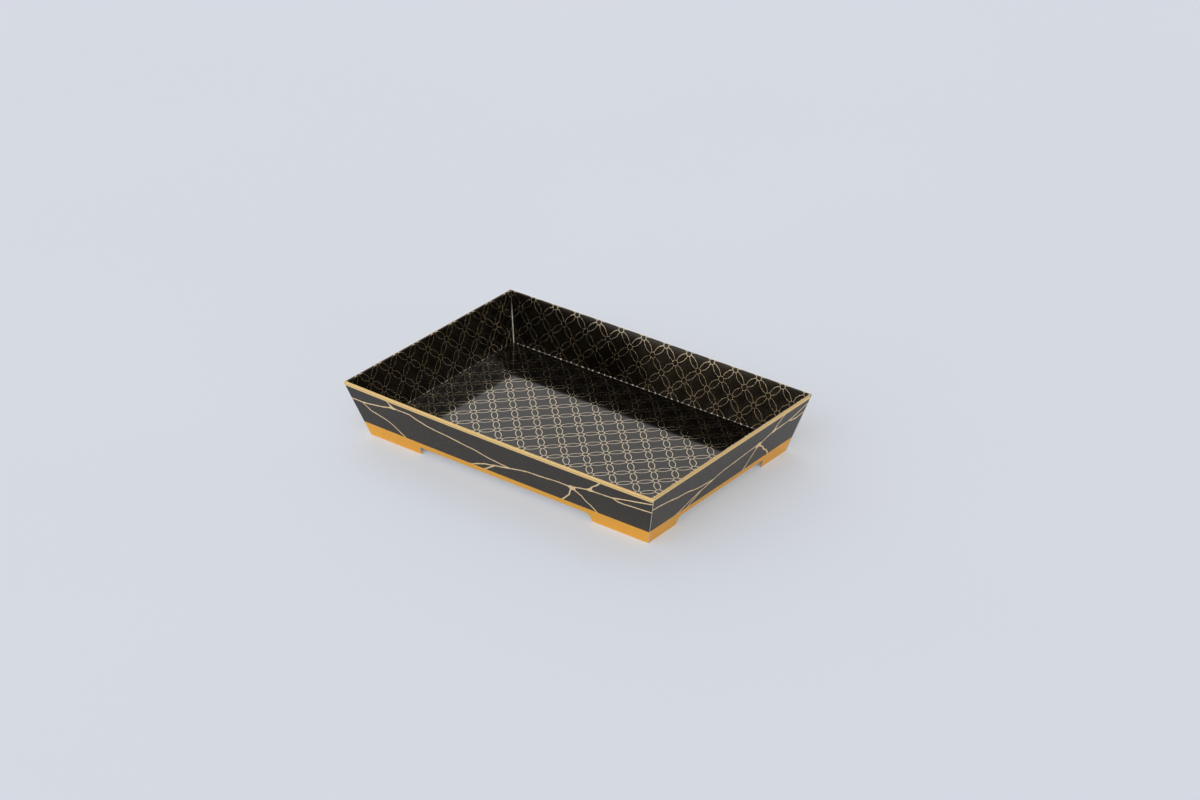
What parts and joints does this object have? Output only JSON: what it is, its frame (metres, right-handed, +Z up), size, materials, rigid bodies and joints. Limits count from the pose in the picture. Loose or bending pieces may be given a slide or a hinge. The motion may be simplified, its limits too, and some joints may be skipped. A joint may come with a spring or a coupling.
{
  "type": "paper sushi tray",
  "caption": "Rectangular folded paperboard food tray with outward-leaning double walls, a raised floor, a narrow rolled rim and notched feet; the outer walls unfold on their rim creases.",
  "frame": {"origin": "on the table under the middle of the tray", "axes": "+X along the tray's length, +Y towards its back wall, +Z up"},
  "size_m": [0.2, 0.135, 0.032],
  "materials": {
    "black_print": "satin black print with gold lines on paperboard",
    "gold_print": "satin gold print on paperboard",
    "raw_board": "uncoated pale paperboard",
    "hot_melt_glue": "pressed hot-melt glue"
  },
  "bodies": {
    "inner_tray": {"base_panel": "black_print", "inner_wall_front": "black_print", "inner_wall_back": "black_print", "inner_wall_left": "black_print", "inner_wall_right": "black_print", "corner_tab_front_left": "raw_board", "corner_tab_front_right": "raw_board", "corner_tab_back_left": "raw_board", "corner_tab_back_right": "raw_board", "glue_patch_front_left": "hot_melt_glue", "glue_patch_front_right": "hot_melt_glue", "glue_patch_back_left": "hot_melt_glue", "glue_patch_back_right": "hot_melt_glue"},
    "front_rim": {"rim_strip_front": "gold_print"},
    "front_outer": {"outer_wall_front": "black_print"},
    "back_rim": {"rim_strip_back": "gold_print"},
    "back_outer": {"outer_wall_back": "black_print"},
    "left_rim": {"rim_strip_left": "gold_print"},
    "left_outer": {"outer_wall_left": "black_print"},
    "right_rim": {"rim_strip_right": "gold_print"},
    "right_outer": {"outer_wall_right": "black_print"}
  },
  "joints": [
    {"name": "front_inner_crease", "type": "hinge", "parent": "inner_tray", "child": "front_rim", "pos_m": [0, -0.0661, 0.032], "axis": [-1, 0, 0], "range_deg": [0, 73.9]},
    {"name": "front_outer_crease", "type": "hinge", "parent": "front_rim", "child": "front_outer", "pos_m": [0, -0.0675, 0.032], "axis": [-1, 0, 0], "range_deg": [0, 105.9]},
    {"name": "back_inner_crease", "type": "hinge", "parent": "inner_tray", "child": "back_rim", "pos_m": [0, 0.0661, 0.032], "axis": [1, 0, 0], "range_deg": [0, 73.9]},
    {"name": "back_outer_crease", "type": "hinge", "parent": "back_rim", "child": "back_outer", "pos_m": [0, 0.0675, 0.032], "axis": [1, 0, 0], "range_deg": [0, 105.9]},
    {"name": "left_inner_crease", "type": "hinge", "parent": "inner_tray", "child": "left_rim", "pos_m": [-0.0986, 0, 0.032], "axis": [0, 1, 0], "range_deg": [0, 73.9]},
    {"name": "left_outer_crease", "type": "hinge", "parent": "left_rim", "child": "left_outer", "pos_m": [-0.1, 0, 0.032], "axis": [0, 1, 0], "range_deg": [0, 105.9]},
    {"name": "right_inner_crease", "type": "hinge", "parent": "inner_tray", "child": "right_rim", "pos_m": [0.0986, 0, 0.032], "axis": [0, -1, 0], "range_deg": [0, 73.9]},
    {"name": "right_outer_crease", "type": "hinge", "parent": "right_rim", "child": "right_outer", "pos_m": [0.1, 0, 0.032], "axis": [0, -1, 0], "range_deg": [0, 105.9]}
  ]
}
